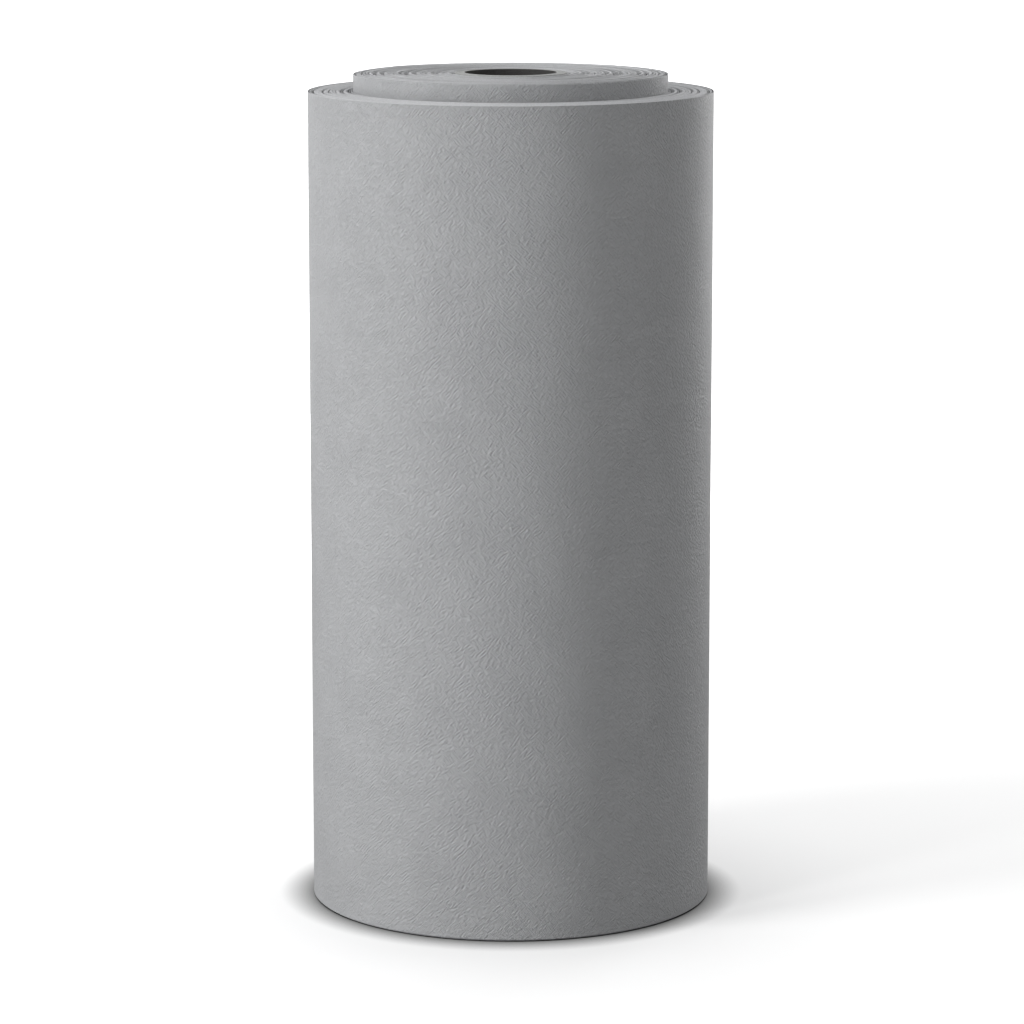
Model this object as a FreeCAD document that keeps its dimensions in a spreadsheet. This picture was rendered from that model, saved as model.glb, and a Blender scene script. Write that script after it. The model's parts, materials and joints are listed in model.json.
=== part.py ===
"""A roll of seamless background paper standing on end: a chipboard core, one spiral-wound sheet and its tapes.

The sheet is one continuous spiral. Each turn modelled here stands for a bundle of real turns, except the
last two, which are single thin sheets. The spiral is cut into nodes only where it moves against itself.
The origin is the middle of the roll's lower end, on the floor, and +Z runs up the roll's axis.
"""
import FreeCAD, Part
import Sketcher
import math
import os

os.makedirs("parts", exist_ok=True)

DIMENSIONS = {
    # the wound sheet
    "roll_width": 680.0,             # the width of the paper, so the length of the roll
    "roll_radius": 168.5,
    "pack_rise": 15.0,               # how far the inner and middle turns have slid out of the outer ones
    "pack_turns": 15,                # modelled turns in each pack
    "turn_gap": 0.3,                 # air between neighbouring turns
    "sheet_thickness": 0.5,          # the free end, stouter than the real sheet
    # the core
    "core_bore_radius": 38.1,
    "core_wall": 8.0,
    # the free end of the sheet
    "tail_edge_angle": 140.0,        # from +X, counter-clockwise seen from above
    "tail_link_angle": 30.0,
    # tapes
    "tape_thickness": 0.3,
    "tape_clearance": 0.1,           # keeps each tape just off the curved face that it sticks to
    "start_tape_angle": 70.0,
    "start_tape_inset": 10.0,        # between the tape's ends and the core's ends
    "tab_height": 38.0,
    "tab_angle": 22.0,
    "tab_end_distance": 70.0,        # from the roll's end to the middle of the nearest tab
}

PACKS = ("sheet_inner_turns", "sheet_middle_turns", "sheet_outer_turns")
TAIL_LINKS = ("sheet_tail_root", "sheet_tail_middle", "sheet_tail_edge")
THIN_HALF_TURNS = 4                  # the last two turns are single sheets

doc = FreeCAD.newDocument("paper_roll")

dims = doc.addObject("Spreadsheet::Sheet", "dims")
for row, (alias, value) in enumerate(DIMENSIONS.items(), start=1):
    dims.set(f"A{row}", alias)
    dims.set(f"B{row}", str(value))
    dims.setAlias(f"B{row}", alias)
doc.recompute()


# ---------------------------------------------------------------- the spiral of the sheet

PACK_HALF_TURNS = 2 * int(dims.pack_turns)
HALF_TURNS = PACK_HALF_TURNS * len(PACKS)
BUNDLE_HALF_TURNS = HALF_TURNS - THIN_HALF_TURNS
FIRST_RADIUS = dims.core_bore_radius + dims.core_wall + dims.tape_thickness + 2 * dims.tape_clearance
THIN_GROWTH = (dims.sheet_thickness + dims.turn_gap) / 2
BUNDLE_GROWTH = (
    dims.roll_radius - FIRST_RADIUS - dims.sheet_thickness - THIN_HALF_TURNS * THIN_GROWTH
) / BUNDLE_HALF_TURNS


def outer_radius(half_turn):
    """The sheet's outer face, where it crosses the spiral's base line after this many half turns."""
    bundles = min(half_turn, BUNDLE_HALF_TURNS)
    thin = half_turn - bundles
    return FIRST_RADIUS + dims.sheet_thickness + bundles * BUNDLE_GROWTH + thin * THIN_GROWTH


def inner_radius(half_turn):
    """The sheet's inner face, one gap outside the turn below it."""
    return outer_radius(half_turn - 2) + dims.turn_gap


def face_circle(radius_of, half_turn):
    """Centre and radius of the half circle that one face of the sheet follows through a half turn."""
    if radius_of is inner_radius and half_turn < 2:
        return FreeCAD.Vector(), FIRST_RADIUS      # the first turn lies on the core
    at_start = radius_of(half_turn)
    at_end = radius_of(half_turn + 1)
    side = 1 if half_turn % 2 == 0 else -1
    return FreeCAD.Vector(side * (at_start - at_end) / 2, 0, 0), (at_start + at_end) / 2


def point_on(circle, half_turn, angle):
    """The point this many degrees into a half turn, on the circle that it follows."""
    centre, radius = circle
    turned = math.radians(angle + 180 * (half_turn % 2))
    return centre + FreeCAD.Vector(radius * math.cos(turned), radius * math.sin(turned), 0)


def face_arcs(radius_of, first, last, lead, reach):
    """Tangent arcs along one face, from lead degrees into half turn first to reach degrees into last."""
    arcs = []
    for half_turn in range(first, last + 1):
        circle = face_circle(radius_of, half_turn)
        begin = lead if half_turn == first else 0
        end = reach if half_turn == last else 180
        points = [point_on(circle, half_turn, angle) for angle in (begin, (begin + end) / 2, end)]
        if arcs and (points[0] - arcs[-1].EndPoint).Length > 1e-6:
            arcs.append(Part.LineSegment(arcs[-1].EndPoint, points[0]))
        arcs.append(Part.Arc(*points))
    return arcs


def wound_sheet(label, first, last, lead=0.0, reach=180.0, raised=False):
    """One stretch of the sheet: its spiral cross-section, extruded over the roll's width."""
    outside = face_arcs(outer_radius, first, last, lead, reach)
    inside = face_arcs(inner_radius, first, last, lead, reach)
    ends = [
        Part.LineSegment(outside[-1].EndPoint, inside[-1].EndPoint),
        Part.LineSegment(inside[0].StartPoint, outside[0].StartPoint),
    ]
    edges = [curve.toShape() for curve in outside + inside + ends]
    profile = doc.addObject("Part::Feature", label + "_profile")
    profile.Shape = Part.Face(Part.Wire(Part.__sortEdges__(edges)))

    stretch = doc.addObject("Part::Extrusion", label)
    stretch.Label = label
    stretch.Base = profile
    stretch.DirMode = "Custom"
    stretch.Dir = FreeCAD.Vector(0, 0, 1)
    stretch.Solid = True
    stretch.setExpression("LengthFwd", "dims.roll_width")
    stretch.Placement.Rotation.Axis = FreeCAD.Vector(0, 0, 1)
    stretch.setExpression("Placement.Rotation.Angle", "dims.tail_edge_angle")
    if raised:
        stretch.setExpression("Placement.Base.z", "dims.pack_rise")
    return stretch


# ---------------------------------------------------------------- sketches for the core and the tapes

def origin_plane(body, role):
    """One of a body's own origin planes."""
    return next(item for item in body.Origin.OriginFeatures if item.Role == role)


def sketch_on(body, role):
    """An empty sketch on one of the body's origin planes."""
    sketch = body.newObject("Sketcher::SketchObject", body.Name + "_sketch")
    sketch.AttachmentSupport = [(origin_plane(body, role), "")]
    sketch.MapMode = "FlatFace"
    return sketch


def bind(sketch, constraint, size):
    """Add a dimension to a sketch and bind it to an expression on the spreadsheet."""
    index = sketch.addConstraint(constraint)
    sketch.setExpression(f"Constraints[{index}]", size)


def tube(label, bore, radius, length, base):
    """A tube: two circles about the axis, padded upwards."""
    body = doc.addObject("PartDesign::Body", label)
    body.Label = label
    ring = sketch_on(body, "XY_Plane")
    for start_size, size in ((20.0, bore), (40.0, radius)):
        circle = ring.addGeometry(Part.Circle(FreeCAD.Vector(), FreeCAD.Vector(0, 0, 1), start_size), False)
        ring.addConstraint(Sketcher.Constraint("Coincident", circle, 3, -1, 1))
        bind(ring, Sketcher.Constraint("Radius", circle, start_size), size)
    pad = body.newObject("PartDesign::Pad", label + "_pad")
    pad.Profile = ring
    pad.setExpression("Length", length)
    body.Tip = pad
    body.setExpression("Placement.Base.z", base)
    return body


def curved_strip(label, radius, thickness, angle, bottom, height, base="0"):
    """A strip of tape lying round a cylinder: its section turned about the axis, centred on the sheet's edge."""
    body = doc.addObject("PartDesign::Body", label)
    body.Label = label
    section = sketch_on(body, "XZ_Plane")
    corners = [FreeCAD.Vector(x, z, 0) for x, z in ((50, 10), (60, 10), (60, 30), (50, 30))]
    for start, end in zip(corners, corners[1:] + corners[:1]):
        section.addGeometry(Part.LineSegment(start, end), False)
    for side in range(4):
        section.addConstraint(Sketcher.Constraint("Coincident", side, 2, (side + 1) % 4, 1))
        section.addConstraint(Sketcher.Constraint("Horizontal" if side % 2 == 0 else "Vertical", side))
    bind(section, Sketcher.Constraint("DistanceX", -1, 1, 0, 1, 50.0), radius)
    bind(section, Sketcher.Constraint("DistanceY", -1, 1, 0, 1, 10.0), bottom)
    bind(section, Sketcher.Constraint("DistanceX", 0, 1, 0, 2, 10.0), thickness)
    bind(section, Sketcher.Constraint("DistanceY", 1, 1, 1, 2, 20.0), height)
    turned = body.newObject("PartDesign::Revolution", label + "_turned")
    turned.Profile = section
    turned.ReferenceAxis = (section, ["V_Axis"])
    turned.Midplane = True
    turned.setExpression("Angle", angle)
    body.Tip = turned
    body.Placement.Rotation.Axis = FreeCAD.Vector(0, 0, 1)
    body.setExpression("Placement.Rotation.Angle", "dims.tail_edge_angle")
    body.setExpression("Placement.Base.z", base)
    return body


# ---------------------------------------------------------------- the core, with the tape that starts the sheet

sub_parts = [
    tube(
        "core_tube",
        bore="dims.core_bore_radius",
        radius="dims.core_bore_radius + dims.core_wall",
        length="dims.roll_width",
        base="dims.pack_rise",
    ),
    curved_strip(
        "core_start_tape",
        radius="dims.core_bore_radius + dims.core_wall + dims.tape_clearance",
        thickness="dims.tape_thickness",
        angle="dims.start_tape_angle",
        bottom="dims.start_tape_inset",
        height="dims.roll_width - 2 * dims.start_tape_inset",
        base="dims.pack_rise",
    ),
]


# ---------------------------------------------------------------- the wound sheet, in three packs of turns

gap_angle = math.degrees(dims.turn_gap / dims.roll_radius)
last_half_turn = HALF_TURNS - 1
tail_start = 180 - dims.tail_link_angle * len(TAIL_LINKS)     # degrees into the last half turn
for pack, label in enumerate(PACKS):
    first = pack * PACK_HALF_TURNS
    is_outside = pack == len(PACKS) - 1
    sub_parts.append(
        wound_sheet(
            label,
            first=first,
            last=first + PACK_HALF_TURNS - 1,
            lead=math.degrees(dims.turn_gap / outer_radius(first)),
            reach=tail_start - gap_angle if is_outside else 180,
            raised=not is_outside,
        )
    )


# ---------------------------------------------------------------- the sheet's free end, in hinged links

for link, label in enumerate(TAIL_LINKS):
    begin = tail_start + link * dims.tail_link_angle
    end = begin + dims.tail_link_angle
    is_edge = link == len(TAIL_LINKS) - 1
    sub_parts.append(
        wound_sheet(
            label,
            first=last_half_turn,
            last=last_half_turn,
            lead=begin,
            reach=end if is_edge else end - gap_angle,
        )
    )


# ---------------------------------------------------------------- the tabs that hold the free end down

TAB_MIDDLES = {
    "tail_tape_top": "dims.roll_width - dims.tab_end_distance",
    "tail_tape_middle": "dims.roll_width / 2",
    "tail_tape_bottom": "dims.tab_end_distance",
}
for label, middle in TAB_MIDDLES.items():
    sub_parts.append(
        curved_strip(
            label,
            radius="dims.roll_radius + dims.tape_clearance",
            thickness="dims.tape_thickness",
            angle="dims.tab_angle",
            bottom=f"{middle} - dims.tab_height / 2",
            height="dims.tab_height",
        )
    )

doc.recompute()


# ---------------------------------------------------------------- checks and export

for item in doc.Objects:
    if "Invalid" in item.State or "Error" in item.State:
        raise RuntimeError(f"{item.Label} did not compute: {item.State}")

for sub_part in sub_parts:
    shape = sub_part.Shape
    if shape.isNull() or not shape.isValid() or not shape.Solids:
        raise RuntimeError(f"{sub_part.Label} is not a valid solid")
    shape.exportStep(f"parts/{sub_part.Label}.step")
    box = shape.BoundBox
    print(
        f"{sub_part.Label}: {shape.Volume / 1000:.1f} cm3, {len(shape.Solids)} solid, "
        f"x {box.XMin:.2f}..{box.XMax:.2f}, y {box.YMin:.2f}..{box.YMax:.2f}, z {box.ZMin:.2f}..{box.ZMax:.2f}"
    )

turn = FreeCAD.Rotation(FreeCAD.Vector(0, 0, 1), dims.tail_edge_angle)
outer_circle = face_circle(outer_radius, last_half_turn)
for link, label in enumerate(TAIL_LINKS):
    begin = tail_start + link * dims.tail_link_angle
    hinge = turn.multVec(point_on(outer_circle, last_half_turn, begin - gap_angle / 2))
    print(f"hinge of {label}: x {hinge.x:.4f}, y {hinge.y:.4f}")
print(f"growth of a bundled turn: {2 * BUNDLE_GROWTH:.4f}")
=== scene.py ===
import json
import math

import bmesh
import bpy
import numpy as np
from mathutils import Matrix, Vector
from mathutils.bvhtree import BVHTree


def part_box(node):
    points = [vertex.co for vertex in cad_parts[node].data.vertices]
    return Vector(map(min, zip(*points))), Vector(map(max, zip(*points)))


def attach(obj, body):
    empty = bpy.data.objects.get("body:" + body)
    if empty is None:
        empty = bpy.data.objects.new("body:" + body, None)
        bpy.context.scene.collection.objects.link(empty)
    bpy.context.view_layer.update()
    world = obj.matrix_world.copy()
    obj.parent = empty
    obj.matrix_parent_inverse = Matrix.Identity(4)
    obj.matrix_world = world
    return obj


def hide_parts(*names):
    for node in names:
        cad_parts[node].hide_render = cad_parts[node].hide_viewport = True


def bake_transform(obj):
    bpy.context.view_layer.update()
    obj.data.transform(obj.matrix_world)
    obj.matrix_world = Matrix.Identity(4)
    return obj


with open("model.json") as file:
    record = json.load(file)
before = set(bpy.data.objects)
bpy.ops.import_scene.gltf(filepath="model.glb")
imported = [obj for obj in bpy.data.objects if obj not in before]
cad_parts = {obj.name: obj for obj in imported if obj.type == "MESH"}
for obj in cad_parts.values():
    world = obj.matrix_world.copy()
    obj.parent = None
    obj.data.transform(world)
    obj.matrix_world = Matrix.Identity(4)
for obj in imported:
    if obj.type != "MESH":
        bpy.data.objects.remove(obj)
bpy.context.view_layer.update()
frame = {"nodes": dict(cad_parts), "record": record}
record = frame["record"]


# ---------------------------------------------------------------------------
# Core tube. Grey recycled chipboard, wound on a mandrel from glued strips in
# several plies, then sawn square. The joint of the innermost strip runs down
# the bore as a helix, and the plies show as rings on the sawn ends.
# ---------------------------------------------------------------------------

core_low, core_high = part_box("core_tube")
core_radius = core_high.x
bore_radius = record["mounts"][0]["dims"]["r_mm"] / 1000
core_plies = 5
core_segments = 144
strip_climb = 0.118           # how far up the bore the innermost strip goes in one turn
joint_depth = 0.0005
joint_half_width = 0.0008
ply_groove = 0.0003
sawn_unevenness = 0.0003
joint_margin = 0.004          # the bore's rows of points stand closer beside the joint
bore_row_step = 0.012
ply_shoulder = 0.15           # the groove beside a ply starts this share of the ply's width from its edge


def srgb(hex_colour):
    """A colour written as on a screen, as the linear colour that a shader takes."""
    parts = [int(hex_colour[i:i + 2], 16) / 255 for i in (1, 3, 5)]
    linear = [part / 12.92 if part <= 0.04045 else ((part + 0.055) / 1.055) ** 2.4 for part in parts]
    return (*linear, 1.0)


def add(tree, kind, inputs=None, **settings):
    """Add a node with its settings. An input takes a value, a node (its first output) or (node, output)."""
    node = tree.nodes.new(kind)
    for name, value in settings.items():
        setattr(node, name, value)
    for name, value in (inputs or {}).items():
        by_name = (socket for socket in node.inputs if socket.enabled and socket.name == name)
        socket = node.inputs[name] if isinstance(name, int) else next(by_name)
        if isinstance(value, bpy.types.Node):
            tree.links.new(next(output for output in value.outputs if output.enabled), socket)
        elif isinstance(value, tuple) and isinstance(value[0], bpy.types.Node):
            tree.links.new(value[0].outputs[value[1]], socket)
        else:
            socket.default_value = value
    return node


def new_material(name):
    """A node material with nothing in it yet, and its tree."""
    material = bpy.data.materials.new(name)
    material.use_nodes = True
    material.node_tree.nodes.clear()
    return material, material.node_tree


def ramp(node, *stops):
    """Set a colour ramp's stops, each a position and a colour."""
    elements = node.color_ramp.elements
    while len(elements) < len(stops):
        elements.new(1.0)
    for element, (position, colour) in zip(elements, stops):
        element.position = position
        element.color = colour
    return node


sharp_above = 0.6                 # an edge that turns by more than this many radians is drawn sharp


def closed_mesh(name, points, faces, material, first_faces=0, first_material=None):
    """A piece from points and faces, with doubles merged and faces turned outwards.

    The first few faces may have a material of their own.
    """
    mesh = bpy.data.meshes.new(name)
    mesh.from_pydata([tuple(point) for point in points], [], [tuple(face) for face in faces])
    mesh.materials.append(material)
    if first_material:
        mesh.materials.append(first_material)
        mesh.polygons.foreach_set("material_index", [int(face < first_faces) for face in range(len(faces))])
    tidy = bmesh.new()
    tidy.from_mesh(mesh)
    bmesh.ops.remove_doubles(tidy, verts=tidy.verts, dist=1e-6)
    bmesh.ops.dissolve_degenerate(tidy, edges=tidy.edges, dist=1e-6)
    bmesh.ops.recalc_face_normals(tidy, faces=tidy.faces)
    for edge in tidy.edges:
        edge.smooth = len(edge.link_faces) == 2 and edge.calc_face_angle() < sharp_above
    for face in tidy.faces:
        face.smooth = True
    tidy.to_mesh(mesh)
    tidy.free()
    piece = bpy.data.objects.new(name, mesh)
    bpy.context.scene.collection.objects.link(piece)
    return piece


def board_material(name, dark, light, speck):
    """Recycled board: matt, with short fibres from dark to light grey, a few specks and faint clouds."""
    material, tree = new_material(name)
    place = add(tree, "ShaderNodeTexCoord")
    # Fibres are about 0.3 mm across; they are drawn 1 mm across so that they show.
    lay = add(tree, "ShaderNodeMapping", {"Vector": (place, "Object"), "Scale": (1.0, 1.0, 3.0)})
    fibres = add(tree, "ShaderNodeTexNoise", {"Vector": lay, "Scale": 700.0, "Detail": 4.0})
    clouds = add(tree, "ShaderNodeTexNoise", {"Vector": (place, "Object"), "Scale": 60.0, "Detail": 3.0})
    specks = add(tree, "ShaderNodeTexVoronoi", {"Vector": lay, "Scale": 420.0})
    fibre_colour = add(tree, "ShaderNodeValToRGB", {"Fac": fibres})
    ramp(fibre_colour, (0.32, srgb(dark)), (0.68, srgb(light)))
    speck_share = add(tree, "ShaderNodeMapRange", {
        "Value": specks, "From Min": 0.05, "From Max": 0.22, "To Min": 0.4, "To Max": 0.0})
    speckled = add(tree, "ShaderNodeMix", {
        "Factor": speck_share, "A": fibre_colour, "B": srgb(speck)}, data_type="RGBA")
    cloud_share = add(tree, "ShaderNodeMath", {0: clouds, 1: 0.4}, operation="MULTIPLY")
    colour = add(tree, "ShaderNodeMix", {
        "Factor": cloud_share, "A": (speckled, 2), "B": srgb(dark)}, data_type="RGBA")
    rough = add(tree, "ShaderNodeMapRange", {"Value": clouds, "To Min": 0.85, "To Max": 0.95})
    bump = add(tree, "ShaderNodeBump", {"Height": fibres, "Strength": 0.5, "Distance": 0.0002})
    board = add(tree, "ShaderNodeBsdfPrincipled", {
        "Base Color": (colour, 2), "Roughness": rough, "IOR": 1.5, "Normal": bump})
    add(tree, "ShaderNodeOutputMaterial", {"Surface": board})
    return material


# Grey recycled chipboard where the plies are sawn through, and a dark recycled liner inside the bore.
chipboard = board_material("grey_recycled_chipboard", "#8d8e8d", "#b1b2b1", "#737372")
bore_liner = board_material("dark_recycled_liner", "#383736", "#4c4b4a", "#2c2b2b")


def bore_band():
    """The bore, as one band that climbs in a helix with a groove along its joint: points and quads."""
    between = np.arange(bore_row_step, strip_climb - joint_margin, bore_row_step)
    steps = np.array([0, joint_half_width, joint_margin, *between])
    steps = np.append(steps, [strip_climb - joint_margin, strip_climb - joint_half_width, strip_climb])
    turns = math.ceil((core_high.z - core_low.z) / strip_climb) + 1
    rows = turns * core_segments + 1
    points = []
    for row in range(rows):
        angle = 2 * math.pi * row / core_segments
        climb = core_low.z - strip_climb + strip_climb * row / core_segments
        for step in steps:
            z = min(max(climb + step, core_low.z), core_high.z)
            on_joint = step in (steps[0], steps[-1]) and core_low.z < z < core_high.z
            radius = bore_radius + (joint_depth if on_joint else 0.0)
            points.append((radius * math.cos(angle), radius * math.sin(angle), z))
    width = len(steps)
    faces = [
        (row * width + i, row * width + i + 1, (row + 1) * width + i + 1, (row + 1) * width + i)
        for row in range(rows - 1)
        for i in range(width - 1)
    ]
    return points, faces


def sawn_end(z_end, inward, random):
    """Rings of points across one sawn end, from the bore out: flat plies with a groove between them."""
    ply = (core_radius - bore_radius) / core_plies
    angles = np.arange(core_segments) * 2 * math.pi / core_segments
    rings = [(bore_radius, np.zeros(core_segments))]
    for number in range(core_plies):
        start = bore_radius + number * ply
        lean = random.uniform(0.2, 1.0) * sawn_unevenness
        drop = lean * (1 + 0.4 * np.sin(angles * random.integers(2, 6) + random.uniform(0, 6)))
        rings.append((start + ply_shoulder * ply, drop))
        rings.append((start + (1 - ply_shoulder) * ply, drop))
        rings.append((start + ply, drop + ply_groove))
    return [
        [(radius * math.cos(a), radius * math.sin(a), z_end + inward * d) for a, d in zip(angles, drops)]
        for radius, drops in rings
    ]


random = np.random.default_rng(3)
points, faces = bore_band()
bore_faces = len(faces)
rings = sawn_end(core_high.z, -1, random) + sawn_end(core_low.z, 1, random)[::-1]
for number, ring in enumerate(rings):
    first = len(points)
    points += ring
    if number:
        for i in range(core_segments):
            j = (i + 1) % core_segments
            faces.append((first + i, first + j, first - core_segments + j, first - core_segments + i))
core = closed_mesh("core_tube_wound", points, faces, chipboard, bore_faces, bore_liner)
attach(core, "inner_pack")
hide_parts("core_tube")


# ---------------------------------------------------------------------------
# Start tape. One wide strip of creped paper tape that holds the first edge of
# the sheet to the core. It stays under the first turn, so only its ends could
# ever be seen, down the roll's end.
# ---------------------------------------------------------------------------

# Creped paper tape: a slight sheen from the rubber-sized paper, and fine ridges across its length.
creped_tape, tree = new_material("creped_masking_tape")
place = add(tree, "ShaderNodeTexCoord")
# Crepe ridges are about 0.4 mm apart; they are drawn 0.8 mm apart so that they show.
ridge_place = add(tree, "ShaderNodeMapping", {"Vector": (place, "Object"), "Scale": (1.0, 1.0, 0.3)})
ridges = add(tree, "ShaderNodeTexNoise", {"Vector": ridge_place, "Scale": 1250.0, "Detail": 2.0})
patches = add(tree, "ShaderNodeTexNoise", {"Vector": (place, "Object"), "Scale": 45.0, "Detail": 3.0})
ridge_colour = add(tree, "ShaderNodeValToRGB", {"Fac": ridges})
ramp(ridge_colour, (0.35, srgb("#d8caa6")), (0.65, srgb("#e1d5b4")))
patch_share = add(tree, "ShaderNodeMath", {0: patches, 1: 0.45}, operation="MULTIPLY")
tape_colour = add(tree, "ShaderNodeMix", {
    "Factor": patch_share, "A": ridge_colour, "B": srgb("#d8c9a4")}, data_type="RGBA")
tape_rough = add(tree, "ShaderNodeMapRange", {"Value": patches, "To Min": 0.5, "To Max": 0.7})
tape_bump = add(tree, "ShaderNodeBump", {"Height": ridges, "Strength": 0.6, "Distance": 0.0002})
tape = add(tree, "ShaderNodeBsdfPrincipled", {
    "Base Color": (tape_colour, 2), "Roughness": tape_rough, "IOR": 1.48, "Normal": tape_bump})
add(tree, "ShaderNodeOutputMaterial", {"Surface": tape})

start_tape = frame["nodes"]["core_start_tape"]
start_tape.data.materials.clear()
start_tape.data.materials.append(creped_tape)


# ---------------------------------------------------------------------------
# Inner turns of the sheet. Heavy, uncoated, dyed-through background paper in
# one long length, wound tight by machine and drawn as a true spiral. Slack
# left by the winder opens darker rings, which part the turns into bands.
# ---------------------------------------------------------------------------

# A real turn is 0.2 mm thick. Each turn drawn here stands for four, so that the turns show.
turn_pitch = 0.00076
turn_thickness = 0.00054
band_slack = 2.4                  # how many turns' room a loose turn takes, beyond its own
band_slip = 0.0018                # how far the loosest turns have slipped down
band_scallop = 0.0003
drift_per_turn = 0.27             # how fast the winder's slack comes and goes
loose_between = (0.57, 0.64)      # the drift over which a turn goes from tight to loose
slipped_between = (0.36, 0.62)    # the drift over which it goes from level to slipped right down
seam_angle = math.radians(140)    # where one pack of turns passes into the next
frame_turn = 0.002786             # how much a turn of the frame's coarser spiral adds to its radius
sheet_start = core_radius + 0.0005

# Face of the sheet: uncoated paper with a low sheen. Its tooth is a fine cross-hatch pressed in by the felt.
# The real one is about 1 mm apart; it is drawn 2 to 3 mm apart so that it shows, with painted shade
# darkening its hollows. Broad soft clouds come from the way the fibres settle.
paper_face, tree = new_material("uncoated_background_paper")
wound = add(tree, "ShaderNodeUVMap", uv_map="wound")
hatches = []
for lean in (math.radians(45), math.radians(-45)):
    turned = add(tree, "ShaderNodeMapping", {"Vector": wound, "Rotation": (0.0, 0.0, lean)})
    drawn_out = add(tree, "ShaderNodeMapping", {"Vector": turned, "Scale": (200.0, 920.0, 1.0)})
    hatches.append(add(tree, "ShaderNodeTexNoise", {"Vector": drawn_out, "Scale": 1.0, "Detail": 1.0}))
tooth = add(tree, "ShaderNodeMath", {0: hatches[0], 1: hatches[1]}, operation="ADD")
place = add(tree, "ShaderNodeTexCoord")
grit = add(tree, "ShaderNodeTexNoise", {"Vector": (place, "Object"), "Scale": 1400.0, "Detail": 2.0})
formation = add(tree, "ShaderNodeTexNoise", {
    "Vector": (place, "Object"), "Scale": 22.0, "Detail": 4.0, "Roughness": 0.55})
surface = add(tree, "ShaderNodeMath", {0: grit, 1: 0.3, 2: tooth}, operation="MULTIPLY_ADD")
face_colour = add(tree, "ShaderNodeValToRGB", {"Fac": formation})
ramp(face_colour, (0.3, srgb("#a8a9ab")), (0.7, srgb("#afb0b2")))
# painted shade: where the cross-hatch is low, the face's colour is mixed towards a darker grey
tooth_hollow_shade = add(tree, "ShaderNodeMapRange", {
    "Value": tooth, "From Min": 0.8, "From Max": 1.2, "To Min": 0.3, "To Max": 0.0})
tooth_shaded = add(tree, "ShaderNodeMix", {
    "Factor": tooth_hollow_shade, "A": face_colour, "B": srgb("#939495")}, data_type="RGBA")
face_rough = add(tree, "ShaderNodeMapRange", {"Value": formation, "To Min": 0.42, "To Max": 0.52})
face_bump = add(tree, "ShaderNodeBump", {"Height": surface, "Strength": 1.0, "Distance": 0.0014})
face = add(tree, "ShaderNodeBsdfPrincipled", {
    "Base Color": (tooth_shaded, 2), "Roughness": face_rough, "IOR": 1.5, "Normal": face_bump})
add(tree, "ShaderNodeOutputMaterial", {"Surface": face})

# Cut edge of the sheet: the same dyed paper, sliced on the slitter. It is rougher and without sheen. Single
# sheets are 0.2 mm thick; their lines are drawn 0.4 mm apart.
paper_edge, tree = new_material("slit_paper_edge")
place = add(tree, "ShaderNodeTexCoord")
flat_place = add(tree, "ShaderNodeMapping", {"Vector": (place, "Object"), "Scale": (1.0, 1.0, 0.0)})
from_axis = add(tree, "ShaderNodeVectorMath", {"Vector": flat_place}, operation="LENGTH")
sheet_line_gap = 0.0004
sheet_count = add(tree, "ShaderNodeMath", {
    0: (from_axis, "Value"), 1: 2 * math.pi / sheet_line_gap}, operation="MULTIPLY")
sheet_lines = add(tree, "ShaderNodeMath", {0: sheet_count}, operation="SINE")
fuzz = add(tree, "ShaderNodeTexNoise", {"Vector": (place, "Object"), "Scale": 1100.0, "Detail": 3.0})
broken = add(tree, "ShaderNodeMath", {0: sheet_lines, 1: fuzz}, operation="MULTIPLY")
edge_colour = add(tree, "ShaderNodeValToRGB", {"Fac": fuzz})
ramp(edge_colour, (0.35, srgb("#b6b7b9")), (0.65, srgb("#cbccce")))
edge_bump = add(tree, "ShaderNodeBump", {"Height": broken, "Strength": 0.5, "Distance": 0.0002})
edge = add(tree, "ShaderNodeBsdfPrincipled", {
    "Base Color": edge_colour, "Roughness": 0.88, "IOR": 1.5, "Normal": edge_bump})
add(tree, "ShaderNodeOutputMaterial", {"Surface": edge})


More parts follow.
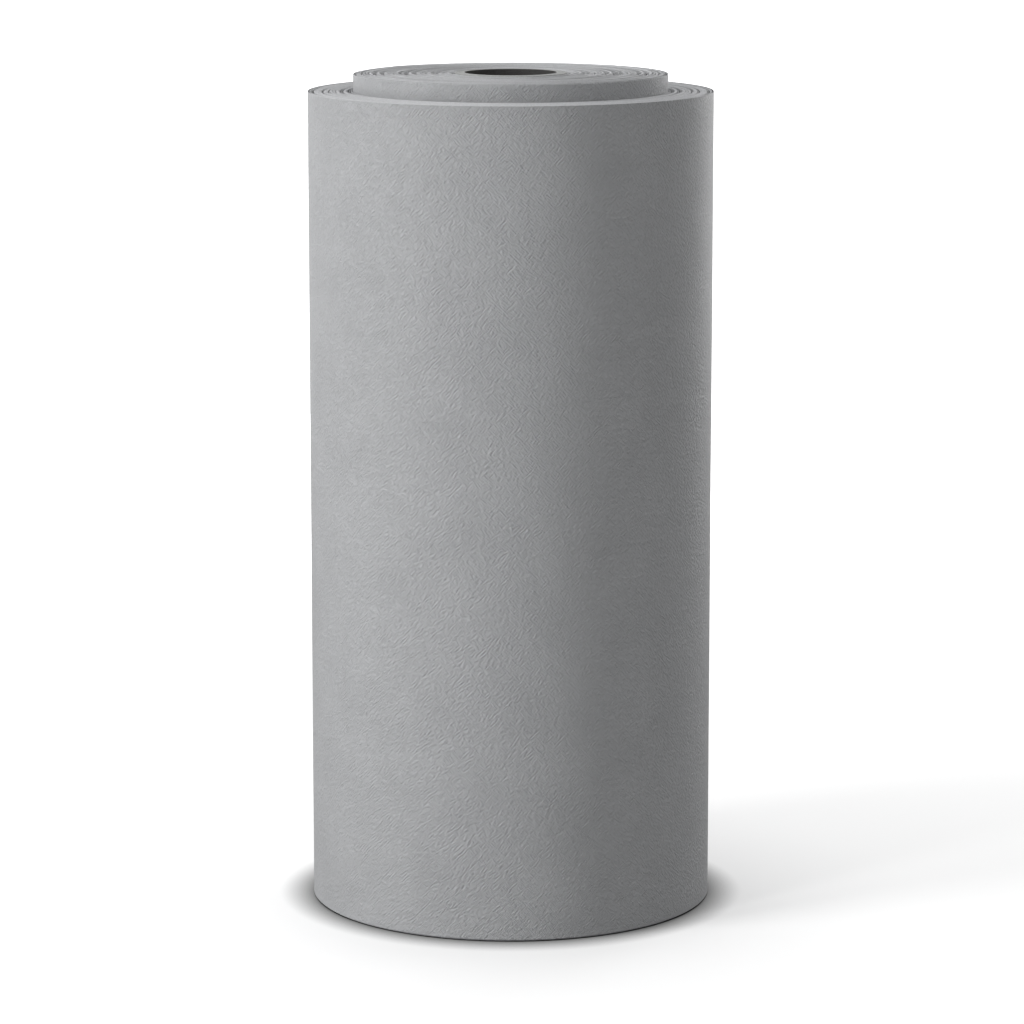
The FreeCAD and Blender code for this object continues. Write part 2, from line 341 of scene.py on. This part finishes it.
def wound_sheet_tree():
    """Geometry nodes that wind a strip of sheet into a spiral, with its edges, slack and unevenness."""
    tree = bpy.data.node_groups.new("wound_sheet", "GeometryNodeTree")
    tree.interface.new_socket("Geometry", in_out="INPUT", socket_type="NodeSocketGeometry")
    for name in ("Start Angle", "Turns", "Start Radius", "End Radius", "Lead", "Thickness", "Bottom", "Top",
                 "Slack", "Scallop", "Unevenness", "Waviness", "Seed"):
        tree.interface.new_socket(name, in_out="INPUT", socket_type="NodeSocketFloat")
    for name in ("Points per Turn", "Rows"):
        tree.interface.new_socket(name, in_out="INPUT", socket_type="NodeSocketInt")
    for name in ("Face", "Cut Edge"):
        tree.interface.new_socket(name, in_out="INPUT", socket_type="NodeSocketMaterial")
    tree.interface.new_socket("Geometry", in_out="OUTPUT", socket_type="NodeSocketGeometry")
    given = add(tree, "NodeGroupInput")

    # how many turns have gone by at each point along the sheet
    points = add(tree, "ShaderNodeMath", {
        0: (given, "Turns"), 1: (given, "Points per Turn")}, operation="MULTIPLY")
    count = add(tree, "ShaderNodeMath", {0: points, 1: 1.0}, operation="ADD")
    line = add(tree, "GeometryNodeCurvePrimitiveLine")
    spine = add(tree, "GeometryNodeResampleCurve", {"Curve": line, "Count": count})
    index = add(tree, "GeometryNodeInputIndex")
    turn = add(tree, "ShaderNodeMath", {0: index, 1: (given, "Points per Turn")}, operation="DIVIDE")

    # the radius grows evenly, and faster where the winder left slack; there the sheet has also slipped down
    seeded = add(tree, "ShaderNodeMath", {
        0: turn, 1: drift_per_turn, 2: (given, "Seed")}, operation="MULTIPLY_ADD")
    drift = add(tree, "ShaderNodeTexNoise", {
        "W": seeded, "Scale": 1.0, "Detail": 1.5, "Roughness": 0.6}, noise_dimensions="1D")
    loose = add(tree, "ShaderNodeMapRange", {
        "Value": drift, "From Min": loose_between[0],
        "From Max": loose_between[1]}, interpolation_type="SMOOTHSTEP")
    growth = add(tree, "ShaderNodeMath", {0: loose, 1: (given, "Slack"), 2: 1.0}, operation="MULTIPLY_ADD")
    slipped = add(tree, "ShaderNodeMapRange", {
        "Value": drift, "From Min": slipped_between[0],
        "From Max": slipped_between[1]}, interpolation_type="SMOOTHSTEP")
    grown = add(tree, "GeometryNodeAccumulateField", {"Value": growth})
    grown_share = add(tree, "ShaderNodeMath", {
        0: (grown, "Trailing"), 1: (grown, "Total")}, operation="DIVIDE")
    even_radius = add(tree, "ShaderNodeMapRange", {
        "Value": grown_share, "To Min": (given, "Start Radius"), "To Max": (given, "End Radius")})
    to_lead = add(tree, "ShaderNodeMapRange", {
        "Value": turn, "From Max": 0.2, "To Min": 1.0, "To Max": 0.0}, interpolation_type="SMOOTHSTEP")
    radius = add(tree, "ShaderNodeMath", {
        0: to_lead, 1: (given, "Lead"), 2: even_radius}, operation="MULTIPLY_ADD")
    angle = add(tree, "ShaderNodeMath", {
        0: turn, 1: 2 * math.pi, 2: (given, "Start Angle")}, operation="MULTIPLY_ADD")
    across = add(tree, "ShaderNodeMath", {0: angle}, operation="COSINE")
    along = add(tree, "ShaderNodeMath", {0: angle}, operation="SINE")

    # neighbouring turns share shallow scallops, where the bands have settled
    slow_turn = add(tree, "ShaderNodeMath", {0: seeded, 1: 0.4}, operation="MULTIPLY")
    round_place = add(tree, "ShaderNodeCombineXYZ", {"X": across, "Y": along, "Z": slow_turn})
    scallops = add(tree, "ShaderNodeTexNoise", {"Vector": round_place, "Scale": 5.0, "Detail": 1.0})
    scallop = add(tree, "ShaderNodeMath", {0: scallops, 1: 0.5}, operation="SUBTRACT")
    settled = add(tree, "ShaderNodeMath", {
        0: scallop, 1: (given, "Scallop"), 2: radius}, operation="MULTIPLY_ADD")
    x = add(tree, "ShaderNodeMath", {0: settled, 1: across}, operation="MULTIPLY")
    y = add(tree, "ShaderNodeMath", {0: settled, 1: along}, operation="MULTIPLY")
    spiral_place = add(tree, "ShaderNodeCombineXYZ", {"X": x, "Y": y})
    spiral = add(tree, "GeometryNodeSetPosition", {"Geometry": spine, "Position": spiral_place})
    with_turn = add(tree, "GeometryNodeStoreNamedAttribute", {
        "Geometry": spiral, "Name": "turn", "Value": turn}, data_type="FLOAT", domain="POINT")
    with_angle = add(tree, "GeometryNodeStoreNamedAttribute", {
        "Geometry": with_turn, "Name": "angle", "Value": angle}, data_type="FLOAT", domain="POINT")
    with_slip = add(tree, "GeometryNodeStoreNamedAttribute", {
        "Geometry": with_angle, "Name": "slip", "Value": slipped}, data_type="FLOAT", domain="POINT")
    upright = add(tree, "GeometryNodeSetCurveNormal", {"Curve": with_slip}, mode="Z_UP")

    # the sheet's cross-section: thin, as tall as the roll, with its two cut edges slightly crowned
    room = add(tree, "ShaderNodeMath", {0: (given, "Top"), 1: (given, "Bottom")}, operation="SUBTRACT")
    height = add(tree, "ShaderNodeMath", {0: room, 1: (given, "Unevenness")}, operation="SUBTRACT")
    section = add(tree, "GeometryNodeMeshGrid", {
        "Size X": (given, "Thickness"), "Size Y": height, "Vertices X": 4, "Vertices Y": (given, "Rows")})
    corner = add(tree, "ShaderNodeSeparateXYZ", {"Vector": add(tree, "GeometryNodeInputPosition")})
    half = add(tree, "ShaderNodeMath", {0: (given, "Thickness"), 1: 0.5}, operation="MULTIPLY")
    off_middle = add(tree, "ShaderNodeMath", {0: corner, 1: half}, operation="DIVIDE")
    squared = add(tree, "ShaderNodeMath", {0: off_middle, 1: off_middle}, operation="MULTIPLY")
    crown = add(tree, "ShaderNodeMath", {0: (given, "Thickness"), 1: height}, operation="DIVIDE")
    crowned = add(tree, "ShaderNodeMath", {0: squared, 1: crown}, operation="MULTIPLY")
    pulled_in = add(tree, "ShaderNodeMath", {0: (corner, "Y"), 1: crowned}, operation="MULTIPLY")
    lowered = add(tree, "ShaderNodeMath", {0: pulled_in, 1: -0.7}, operation="MULTIPLY")
    crown_offset = add(tree, "ShaderNodeCombineXYZ", {"Y": lowered})
    crowned_section = add(tree, "GeometryNodeSetPosition", {"Geometry": section, "Offset": crown_offset})
    sides = add(tree, "GeometryNodeInputMeshEdgeNeighbors")
    is_rim = add(tree, "FunctionNodeCompare", {"A": sides, "B": 1}, data_type="INT", operation="EQUAL")
    outline = add(tree, "GeometryNodeMeshToCurve", {"Mesh": crowned_section, "Selection": is_rim})
    strip = add(tree, "GeometryNodeCurveToMesh", {
        "Curve": upright, "Profile Curve": outline, "Fill Caps": True})

    # lift the strip to its height, less what it has slipped, and give the face its shallow waves
    at = add(tree, "ShaderNodeSeparateXYZ", {"Vector": add(tree, "GeometryNodeInputPosition")})
    slip_here = add(tree, "GeometryNodeInputNamedAttribute", {"Name": "slip"}, data_type="FLOAT")
    turn_here = add(tree, "GeometryNodeInputNamedAttribute", {"Name": "turn"}, data_type="FLOAT")
    walk_place = add(tree, "ShaderNodeMath", {0: turn_here, 1: (given, "Seed")}, operation="ADD")
    walk = add(tree, "ShaderNodeTexNoise", {
        "W": walk_place, "Scale": 0.9, "Detail": 3.0, "Roughness": 0.6}, noise_dimensions="1D")
    both = add(tree, "ShaderNodeMath", {0: walk, 1: 0.5, 2: slip_here}, operation="MULTIPLY_ADD")
    slip = add(tree, "ShaderNodeMath", {0: both, 1: 1.5}, operation="DIVIDE")
    sunk = add(tree, "ShaderNodeMath", {0: slip, 1: (given, "Unevenness")}, operation="MULTIPLY")
    half_height = add(tree, "ShaderNodeMath", {0: height, 1: 0.5}, operation="MULTIPLY")
    highest_middle = add(tree, "ShaderNodeMath", {0: (given, "Top"), 1: half_height}, operation="SUBTRACT")
    rise = add(tree, "ShaderNodeMath", {0: highest_middle, 1: sunk}, operation="SUBTRACT")
    flat_at = add(tree, "ShaderNodeCombineXYZ", {"X": at, "Y": (at, "Y")})
    outwards = add(tree, "ShaderNodeVectorMath", {"Vector": flat_at}, operation="NORMALIZE")
    waves = add(tree, "ShaderNodeTexNoise", {"Scale": 9.0, "Detail": 2.0})
    dent = add(tree, "ShaderNodeMath", {0: waves, 1: (given, "Waviness")}, operation="MULTIPLY")
    inwards = add(tree, "ShaderNodeMath", {0: dent, 1: -1.0}, operation="MULTIPLY")
    push = add(tree, "ShaderNodeVectorMath", {0: outwards, "Scale": inwards}, operation="SCALE")
    lift = add(tree, "ShaderNodeCombineXYZ", {"Z": rise})
    offset = add(tree, "ShaderNodeVectorMath", {0: push, 1: lift}, operation="ADD")
    placed = add(tree, "GeometryNodeSetPosition", {"Geometry": strip, "Offset": offset})

    # a flat map of the sheet, in metres along it and up it, for its pressed-in tooth
    angle_here = add(tree, "GeometryNodeInputNamedAttribute", {"Name": "angle"}, data_type="FLOAT")
    run = add(tree, "ShaderNodeMath", {0: angle_here, 1: (given, "End Radius")}, operation="MULTIPLY")
    up = add(tree, "ShaderNodeSeparateXYZ", {"Vector": add(tree, "GeometryNodeInputPosition")})
    flat_map = add(tree, "ShaderNodeCombineXYZ", {"X": run, "Y": (up, "Z")})
    mapped = add(tree, "GeometryNodeStoreNamedAttribute", {
        "Geometry": placed, "Name": "wound", "Value": flat_map}, data_type="FLOAT2", domain="CORNER")
    fold = add(tree, "GeometryNodeInputMeshEdgeAngle")
    is_fold = add(tree, "FunctionNodeCompare", {
        "A": fold, "B": sharp_above}, data_type="FLOAT", operation="GREATER_THAN")
    creased = add(tree, "GeometryNodeStoreNamedAttribute", {
        "Geometry": mapped, "Name": "sharp_edge", "Value": is_fold}, data_type="BOOLEAN", domain="EDGE")
    smooth = add(tree, "GeometryNodeSetShadeSmooth", {"Geometry": creased})

    # the wide faces are the sheet's face; what looks up or down is its cut edge
    solid = add(tree, "GeometryNodeRealizeInstances", {"Geometry": smooth})
    faced = add(tree, "GeometryNodeSetMaterial", {"Geometry": solid, "Material": (given, "Face")})
    looks = add(tree, "ShaderNodeSeparateXYZ", {"Vector": add(tree, "GeometryNodeInputNormal")})
    steep = add(tree, "ShaderNodeMath", {0: (looks, "Z")}, operation="ABSOLUTE")
    is_cut = add(tree, "FunctionNodeCompare", {
        "A": steep, "B": 0.5}, data_type="FLOAT", operation="GREATER_THAN")
    edged = add(tree, "GeometryNodeSetMaterial", {
        "Geometry": faced, "Selection": is_cut, "Material": (given, "Cut Edge")})
    add(tree, "NodeGroupOutput", {"Geometry": edged})
    return tree


winder = wound_sheet_tree()
usual_settings = {
    "face": paper_face, "cut_edge": paper_edge, "seed": 0.0, "lead": 0.0, "slack": 0.0, "scallop": 0.0,
    "unevenness": 0.0, "waviness": 0.0, "rows": 2, "points_per_turn": 144}


def wind(name, **settings):
    """A plain mesh piece of the wound sheet, made by the winder with these settings."""
    blank = bpy.data.meshes.new(name)
    piece = bpy.data.objects.new(name, blank)
    bpy.context.scene.collection.objects.link(piece)
    modifier = piece.modifiers.new("winder", "NODES")
    modifier.node_group = winder
    settings = {**usual_settings, **settings}
    for socket in winder.interface.items_tree:
        key = socket.name.lower().replace(" ", "_")
        if socket.in_out == "INPUT" and key in settings:
            modifier[socket.identifier] = settings[key]
    bpy.context.view_layer.update()
    wound_piece = piece.evaluated_get(bpy.context.evaluated_depsgraph_get())
    mesh = bpy.data.meshes.new_from_object(wound_piece)
    piece.modifiers.clear()
    piece.data = mesh
    mesh.name = name
    bpy.data.meshes.remove(blank)
    tidy = bmesh.new()
    tidy.from_mesh(mesh)
    bmesh.ops.recalc_face_normals(tidy, faces=tidy.faces)
    tidy.to_mesh(mesh)
    tidy.free()
    return piece


def seam_radius(node):
    """Outer radius of a pack at its last seam, from where the frame's spiral passes +X on its last turn."""
    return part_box(node)[1].x + frame_turn * seam_angle / (2 * math.pi)


inner_low, inner_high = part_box("sheet_inner_turns")
inner_start = sheet_start + turn_thickness / 2
inner_end = seam_radius("sheet_inner_turns") - turn_thickness / 2
inner_turns = wind(
    "paper_inner_turns", start_angle=seam_angle, turns=float(round((inner_end - inner_start) / turn_pitch)),
    start_radius=inner_start, end_radius=inner_end, thickness=turn_thickness, bottom=inner_low.z,
    top=inner_high.z, slack=band_slack, scallop=band_scallop, unevenness=band_slip, seed=1.0)
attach(inner_turns, "inner_pack")
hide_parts("sheet_inner_turns")


# ---------------------------------------------------------------------------
# Middle turns of the sheet. The same length of paper goes on winding here.
# It steps out a little at first, which leaves one wider gap where these turns
# and the inner ones have slid on each other.
# ---------------------------------------------------------------------------

middle_step = 0.0006
middle_low, middle_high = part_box("sheet_middle_turns")
middle_end = seam_radius("sheet_middle_turns") - turn_thickness / 2
middle_turns = wind(
    "paper_middle_turns", start_angle=seam_angle, turns=float(round((middle_end - inner_end) / turn_pitch)),
    start_radius=inner_end + middle_step, end_radius=middle_end, lead=-middle_step,
    thickness=turn_thickness, bottom=middle_low.z, top=middle_high.z, slack=band_slack,
    scallop=band_scallop, unevenness=band_slip, seed=7.0)
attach(middle_turns, "middle_pack")
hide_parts("sheet_middle_turns")


# ---------------------------------------------------------------------------
# Outer turns of the sheet. These stand on the floor, with the inner turns
# about 15 mm proud of them. The last whole turn is a single sheet, and its
# broad face is what shows: tight, with only the faintest waves in it.
# ---------------------------------------------------------------------------

sheet_thickness = 0.0005          # the last turn, a single sheet
last_growth = 0.0008              # how much the radius grows over the last turn
edge_shadow_gap = 0.0016          # the last turn's lower edge stays this far off the floor
hinge_reach = math.radians(15)    # the stretch drawn at a fold line reaches this far each side of it
fold_angles = [math.radians(angle) for angle in (50, 80, 110)]
wrap_end = fold_angles[0] - hinge_reach
outer_low, outer_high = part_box("sheet_outer_turns")
free_edge_radius = 0.16842        # outer face of the sheet where it ends
sheet_waviness = 0.00025
under_gap = 0.0003                # air between the single sheet and the turns it lies on


def last_turn_radius(angle):
    """Middle of the single sheet's thickness, at this angle on the last turn."""
    return free_edge_radius - sheet_thickness / 2 - last_growth * (seam_angle - angle) / (2 * math.pi)


def single_sheet(name, first_angle, last_angle):
    """A stretch of the last turn, with the broad waves and the wandering edge that its stretches share."""
    return wind(
        name, start_angle=first_angle, turns=(last_angle - first_angle) / (2 * math.pi),
        start_radius=last_turn_radius(first_angle), end_radius=last_turn_radius(last_angle),
        thickness=sheet_thickness, bottom=outer_low.z + edge_shadow_gap, top=outer_high.z,
        waviness=sheet_waviness, rows=120, points_per_turn=240)


outer_start = middle_end + turn_pitch
outer_end = last_turn_radius(wrap_end - 2 * math.pi) - sheet_thickness / 2 - turn_thickness / 2 - under_gap
outer_turns = wind(
    "paper_outer_turns", start_angle=seam_angle, turns=float(round((outer_end - outer_start) / turn_pitch)),
    start_radius=outer_start, end_radius=outer_end, thickness=turn_thickness,
    bottom=outer_low.z, top=outer_high.z, slack=band_slack, scallop=band_scallop,
    unevenness=band_slip / 3, seed=13.0)
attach(outer_turns, "outer_pack")
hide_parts("sheet_outer_turns")

outer_wrap = single_sheet("paper_outer_wrap", wrap_end - 2 * math.pi, wrap_end)
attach(outer_wrap, "outer_pack")


# ---------------------------------------------------------------------------
# Free end of the sheet. The last quarter turn lies on the turn below, and can
# be lifted off once its tabs are peeled. It is drawn as a stretch of the single
# sheet over each of its three fold lines, and the strip out to the cut edge.
# ---------------------------------------------------------------------------


tail_bodies = ["outer_pack", "tail_root", "tail_middle", "tail_edge"]
for number, fold in enumerate(fold_angles):
    before, after = tail_bodies[number:number + 2]
    first, last = fold - hinge_reach, fold + hinge_reach
    stretch = single_sheet(f"paper_{after}", first, last)
    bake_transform(stretch)
    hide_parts(f"sheet_{after}")

# The last strip, up to the knife-cut edge: held down under the tapes, and a little sprung between them.
spring_height = 0.0013
tape_half_height = 0.022          # the edge lies flat this far each side of a tape's middle
tape_hold = 0.085                 # and is free to spring fully this much further on
cut_wander = 0.0007
free_start = fold_angles[-1] + hinge_reach
free_end = single_sheet("paper_free_end", free_start, seam_angle)
tape_heights = [sum(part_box(f"tail_tape_{place}"), Vector()).z / 2 for place in ("top", "middle", "bottom")]
for vertex in free_end.data.vertices:
    angle = math.atan2(vertex.co.y, vertex.co.x)
    to_edge = min(max((angle - free_start) / (seam_angle - free_start), 0.0), 1.0)
    to_tape = min(abs(vertex.co.z - height) for height in tape_heights) - tape_half_height
    free = min(max(to_tape / tape_hold, 0.0), 1.0)
    spring = spring_height * to_edge ** 2 * free * free * (3 - 2 * free)
    wander = cut_wander * to_edge ** 4 * (1 + math.sin(vertex.co.z * 21) * math.cos(vertex.co.z * 57)) / 2
    radius = vertex.co.xy.length + spring
    angle -= wander / radius
    vertex.co.x = radius * math.cos(angle)
    vertex.co.y = radius * math.sin(angle)
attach(free_end, "tail_edge")


# ---------------------------------------------------------------------------
# Tail tapes. Three short tabs of creped paper tape, torn off on a serrated
# cutter and pressed down across the free edge, near each end and at the
# middle. Each steps down over the edge onto the turn below.
# ---------------------------------------------------------------------------

tab_half_angle = math.radians(10.6)
tab_thickness = 0.00016
tab_lift = 0.00005
tooth_depth = 0.0018              # real teeth are finer; these are drawn large enough to show
tooth_height = 0.0032
tab_columns = 96
rows_per_tooth = 4
steepest_step = 0.45              # how sharply the tape can step down, rise over run
tab_end_margin = 0.0002           # the tab's long edges stay this far inside its room
ray_start = 0.2                   # where the rays that feel for the sheet start, outside the roll


def lay_tape(name, node):
    """A tape tab pressed onto the pieces below it, with torn ends, as tall as its CAD node."""
    low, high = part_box(node)
    teeth = round((high.z - low.z) / tooth_height)
    rows = teeth * rows_per_tooth
    heights = np.linspace(low.z + tab_end_margin, high.z - tab_end_margin, rows + 1)
    saw = tooth_depth * np.abs((np.arange(rows + 1) / rows_per_tooth) % 1 - 0.5) * 2 / free_edge_radius
    across = np.linspace(-1, 1, tab_columns + 1)
    angles = seam_angle + across * tab_half_angle * (1 - saw[:, None] / tab_half_angle)
    scene_now = bpy.context.evaluated_depsgraph_get()
    surfaces = [BVHTree.FromObject(piece, scene_now) for piece in (free_end, outer_wrap)]
    radii = np.zeros_like(angles)
    for row, height in enumerate(heights):
        for column, angle in enumerate(angles[row]):
            outward = Vector((math.cos(angle), math.sin(angle), 0))
            start = outward * ray_start + Vector((0, 0, height))
            hits = [surface.ray_cast(start, -outward)[0] for surface in surfaces]
            radii[row, column] = max(hit.xy.length for hit in hits if hit)
    reach = np.abs(angles[:, :, None] - angles[:, None, :]) * free_edge_radius * steepest_step
    radii = (radii[:, None, :] - reach).max(axis=2) + tab_lift
    points = [
        ((radius + rise) * math.cos(angle), (radius + rise) * math.sin(angle), height)
        for rise in (0.0, tab_thickness)
        for height, row_angles, row_radii in zip(heights, angles, radii)
        for angle, radius in zip(row_angles, row_radii)
    ]
    width = tab_columns + 1
    layer = (rows + 1) * width
    faces = []
    for row in range(rows):
        for column in range(tab_columns):
            corner = row * width + column
            square = (corner, corner + 1, corner + width + 1, corner + width)
            faces += [square, tuple(layer + point for point in square)]
    border = list(range(width))
    border += [row * width + tab_columns for row in range(1, rows + 1)]
    border += [rows * width + column for column in range(tab_columns - 1, -1, -1)]
    border += [row * width for row in range(rows - 1, 0, -1)]
    for here, there in zip(border, border[1:] + border[:1]):
        faces.append((here, there, there + layer, here + layer))
    tab = closed_mesh(name, points, faces, creped_tape)
    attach(tab, "tail_edge")
    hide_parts(node)


for place_on_edge in ("top", "middle", "bottom"):
    lay_tape(f"tape_tab_{place_on_edge}", f"tail_tape_{place_on_edge}")


# ---------------------------------------------------------------------------
# Studio: a white floor under a broad overhead light, a tall softbox and a
# strip light at the left front, two weaker softboxes at the right back, a
# wide lit panel behind, and a long lens looking slightly down.
# ---------------------------------------------------------------------------

# White floor sheet: matt. It throws back less light than it shows, as if dark cards lay just out of view.
# Close to the roll a contact shadow is painted into its colour, and far off it glows white, so that it meets
# the backing with no line.
floor_paint, tree = new_material("white_studio_floor")
place = add(tree, "ShaderNodeTexCoord")
floor_clouds = add(tree, "ShaderNodeTexNoise", {"Vector": (place, "Object"), "Scale": 3.0, "Detail": 3.0})
floor_rough = add(tree, "ShaderNodeMapRange", {"Value": floor_clouds, "To Min": 0.85, "To Max": 0.95})
seen = add(tree, "ShaderNodeLightPath")
# painted contact shadow: where ambient occlusion finds the roll close by, the floor's shown colour is mixed
# towards near-black
contact = add(tree, "ShaderNodeAmbientOcclusion", {"Distance": 0.03})
contact_shade = add(tree, "ShaderNodeMath", {0: (contact, "AO"), 1: 2.0}, operation="POWER")
painted_shadow_white = add(tree, "ShaderNodeMix", {
    "Factor": contact_shade, "A": srgb("#101010"), "B": srgb("#f8f8f8")}, data_type="RGBA")
floor_white = add(tree, "ShaderNodeMix", {
    "Factor": (seen, "Is Camera Ray"), "A": srgb("#898989"), "B": (painted_shadow_white, 2)}, data_type="RGBA")
from_roll = add(tree, "ShaderNodeVectorMath", {"Vector": (place, "Object")}, operation="LENGTH")
far_off = add(tree, "ShaderNodeMapRange", {
    "Value": (from_roll, "Value"), "From Min": 0.7, "From Max": 1.9}, interpolation_type="SMOOTHSTEP")
far_glow = add(tree, "ShaderNodeMath", {0: far_off, 1: (seen, "Is Camera Ray")}, operation="MULTIPLY")
floor_coat = add(tree, "ShaderNodeBsdfPrincipled", {
    "Base Color": (floor_white, 2), "Roughness": floor_rough, "IOR": 1.4,
    "Emission Color": srgb("#ffffff"), "Emission Strength": far_glow})
add(tree, "ShaderNodeOutputMaterial", {"Surface": floor_coat})
floor_size = 60.0
floor_mesh = bpy.data.meshes.new("studio_floor")
floor_mesh.from_pydata(
    [(x * floor_size / 2, y * floor_size / 2, 0.0) for x, y in ((-1, -1), (1, -1), (1, 1), (-1, 1))],
    [], [(0, 1, 2, 3)])
floor_mesh.materials.append(floor_paint)
floor = bpy.data.objects.new("studio_floor", floor_mesh)
bpy.context.scene.collection.objects.link(floor)


def softbox(name, azimuth, distance, width, tall, power):
    """A rectangular area light that faces the middle of the roll; azimuth 0 is the camera's side."""
    lamp = bpy.data.lights.new(name, "AREA")
    lamp.shape = "RECTANGLE"
    lamp.size = width
    lamp.size_y = tall
    lamp.energy = power
    light = bpy.data.objects.new(name, lamp)
    turn = math.radians(azimuth)
    light.location = (distance * math.sin(turn), -distance * math.cos(turn), 0.9)
    aim = Vector((0, 0, outer_high.z / 2)) - light.location
    light.rotation_euler = aim.to_track_quat("-Z", "Y").to_euler()
    light.visible_camera = False
    bpy.context.scene.collection.objects.link(light)


softbox("left_softbox", -63, 2.2, 0.7, 1.6, 34.0)
softbox("left_strip", -42, 2.2, 0.25, 1.6, 9.0)
softbox("right_softbox", 110, 2.2, 0.7, 1.6, 4.0)
softbox("right_rim_softbox", 150, 2.2, 0.7, 1.6, 7.5)
softbox("backdrop_glow", 180, 2.5, 5.0, 2.6, 39.0)
sky = bpy.data.lights.new("overhead_light", "SUN")
sky.energy = 0.9
sky.angle = math.radians(30)
overhead = bpy.data.objects.new("overhead_light", sky)
bpy.context.scene.collection.objects.link(overhead)

world = bpy.data.worlds.new("white_studio")
bpy.context.scene.world = world
world.use_nodes = True
world.node_tree.nodes.clear()
seen = add(world.node_tree, "ShaderNodeLightPath")
strength = add(world.node_tree, "ShaderNodeMapRange", {
    "Value": (seen, "Is Camera Ray"), "To Min": 0.48, "To Max": 1.0})
backing = add(world.node_tree, "ShaderNodeBackground", {"Color": srgb("#ffffff"), "Strength": strength})
add(world.node_tree, "ShaderNodeOutputWorld", {"Surface": backing})

camera_tilt = 0.174               # radians below level
camera_data = bpy.data.cameras.new("camera")
camera_data.lens = 148.0
camera_data.sensor_width = 36.0
camera = bpy.data.objects.new("camera", camera_data)
camera.location = (0.0012, -3.486, 0.939)
camera.rotation_euler = (math.pi / 2 - camera_tilt, 0.0, 0.0)
bpy.context.scene.collection.objects.link(camera)
bpy.context.scene.camera = camera
bpy.context.scene.view_settings.view_transform = "Standard"
